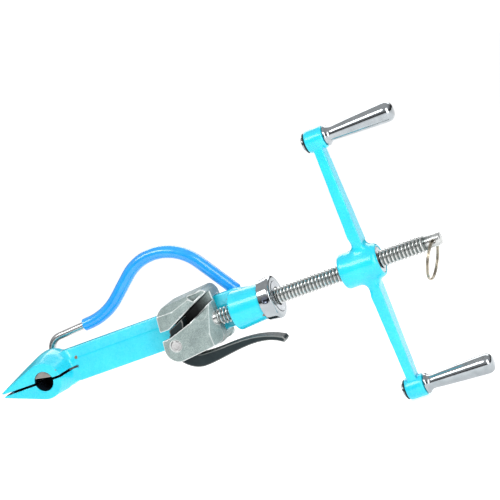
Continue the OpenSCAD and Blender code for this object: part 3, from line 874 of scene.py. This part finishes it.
def tubeAlong(name, points, y, radius, head, tail, sides):
    # head and tail are (distance past the end, radius) rings, from outside in and from inside out
    path = [Vector((x, y, z)) * mm for x, z in points]
    startWay, endWay = (path[0] - path[1]).normalized(), (path[-1] - path[-2]).normalized()
    rings = [(path[0] + startWay * d * mm, r, -startWay) for d, r in head]
    rings += [(p, radius, None) for p in path]
    rings += [(path[-1] + endWay * d * mm, r, endWay) for d, r in tail]
    bm = bmesh.new()
    loops = []
    across = Vector((0, 1, 0))
    for k, (place, r, way) in enumerate(rings):
        if place == path[0]:
            way = -startWay
        elif place == path[-1]:
            way = endWay
        elif way is None:
            way = (rings[k + 1][0] - rings[k - 1][0]).normalized()
        other = way.cross(across)
        loops.append([bm.verts.new(place + r * mm * (math.cos(a) * across + math.sin(a) * other))
                      for a in (2 * math.pi * i / sides for i in range(sides))])
    for first, second in zip(loops, loops[1:]):
        for i in range(sides):
            j = (i + 1) % sides
            bm.faces.new((first[i], first[j], second[j], second[i]))
    bm.faces.new(list(reversed(loops[0])))
    bm.faces.new(loops[-1])
    bmesh.ops.recalc_face_normals(bm, faces=bm.faces)
    mesh = bpy.data.meshes.new(name)
    bm.to_mesh(mesh)
    bm.free()
    smoothShade(mesh, 45)
    return mesh


def makeCutterHandle(steel, vinyl):
    s = cutterHandle
    low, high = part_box("cutter_rod")
    y = (low.y + high.y) / 2 / mm
    pivotX = middleOf("cutter_shaft").x / mm
    heading = math.radians(s["heading"])
    start = (pivotX + s["lap"] * math.cos(heading), s["lap"] * math.sin(heading))
    lead, turned = walk(start, heading, [s["lead"], (s["bare"], 0, 0)])
    grip, _ = walk(lead[-1], turned, [*s["sleeve"], (s["end"], 0, 0)])
    rodEnd = [(0.0, s["rodRadius"] - 0.6)]  # a small chamfer at both ends
    rod = tubeAlong("cutterRod", lead + grip[1:], y, s["rodRadius"], rodEnd, rodEnd, 36)
    newPiece("cutterRod", rod, steel, "cutter", ["cutter_rod"])
    r, bore, over = s["sleeveRadius"], s["rodRadius"] + 0.05, s["over"]
    mouth = [(-9.0, 0.2), (-8.9, bore), (-0.5, bore), (0.0, bore + 0.3), (0.0, r - 0.9), (-0.3, r - 0.3)]
    dome = [(over - 2.8, r), (over - 1.5, r - 0.4), (over - 0.6, r - 1.2), (over - 0.15, r - 2.2),
            (over, r - 3.2), (over - 0.1, r - 3.9), (over - 0.8, r - 4.2), (over - 2.4, r - 4.25)]
    sleeve = tubeAlong("cutterSleeve", grip[1:], y, r, mouth, dome, 56)
    newPiece("cutterSleeve", sleeve, vinyl, "cutter", ["cutter_sleeve"])


# Split ring: two turns of wire side by side, with one crossing

ringShape = {  # millimetres and degrees
    "radius": 15.6, "wire": 1.3, "drop": 0.4, "steps": 220,
    "lean": 24, "twist": 5, "cross": 40, "crossAt": 200,
}


def makeSplitRing(material):
    s = ringShape
    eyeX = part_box("tension_screw")[1].x - screwShape["endLength"] * mm / 2
    lean = Matrix.Rotation(math.radians(s["lean"]), 4, "Y")
    turn = lean @ Matrix.Rotation(math.radians(-s["twist"]), 4, "Z")
    hang = Matrix.Translation((0, 0, (s["drop"] - s["radius"]) * mm))
    place = Matrix.Translation((eyeX, 0, 0)) @ turn @ hang
    path = []
    for i in range(s["steps"] + 1):
        degrees = 720 * i / s["steps"]
        share = min(1.0, max(0.0, (degrees - 360 + s["cross"] / 2) / s["cross"]))
        side = (share * share * (3 - 2 * share) * 2 - 1) * s["wire"] * 0.48
        a = math.radians(degrees + s["crossAt"])
        path.append(place @ (Vector((side, s["radius"] * math.sin(a), s["radius"] * math.cos(a))) * mm))
    mesh = sweep("splitRing", path, s["wire"] / 2 * mm, 20)
    smoothShade(mesh, 50)
    return newPiece("splitRing", mesh, material, "ring", ["split_ring"])


# Everything together

def dressNode(node, material):
    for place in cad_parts[node].material_slots:
        place.material = material


bpy.context.scene.view_settings.view_transform = "Standard"
makeCamera()
makeWorld()
makeLights()
makeFloor()
print("studio ready")

paint, zinc, oxide = blueEnamel(), blastedZinc(), blackOxide()
plate = chrome()
steel = brightSteel()
toolSteel = brightSteel("cutterSteel", (0.62, 0.60, 0.56), 0.32, 0.5)
raceSteel = brightSteel("raceSteel", (0.85, 0.9, 0.95), 0.16, 0.26)
ringSteel = brightSteel("ringSteel", (0.80, 0.72, 0.58), 0.14, 0.24)
thread, vinyl, cageBrass = threadSteel(), blueVinyl(), brass()
print("materials ready")

makeToolBody(paint)
print("tool body ready")
makeCrank(paint)
print("crank ready")
makeLever(oxide)
makeBlock(zinc)
makeCutter(toolSteel)
print("block, lever and cutter ready")
makeCap(plate)
makeHandle("handle_top", "handleTop", "top_grip", plate)
makeHandle("handle_bottom", "handleBottom", "bottom_grip", plate)
for end in ("top", "bottom"):
    makeRingPiece("washer_" + end, "washer" + end.capitalize(), "crank", oxide, 4.2, 0.25)
makeRingPiece("thread_bush", "threadBush", "nut", raceSteel, 7.0, 0.5)
makeGripperPin(steel)
print("turned pieces ready")
makeScrew(thread)
print("screw ready")
makeCutterHandle(steel, vinyl)
makeSplitRing(ringSteel)
print("cutter handle and ring ready")

for node, material in (("cutter_keeper_pin", steel), ("front_race", raceSteel), ("rear_race", raceSteel),
                       ("ball_cage", cageBrass), ("thrust_balls", raceSteel), ("screw_roll_pin", oxide)):
    dressNode(node, material)
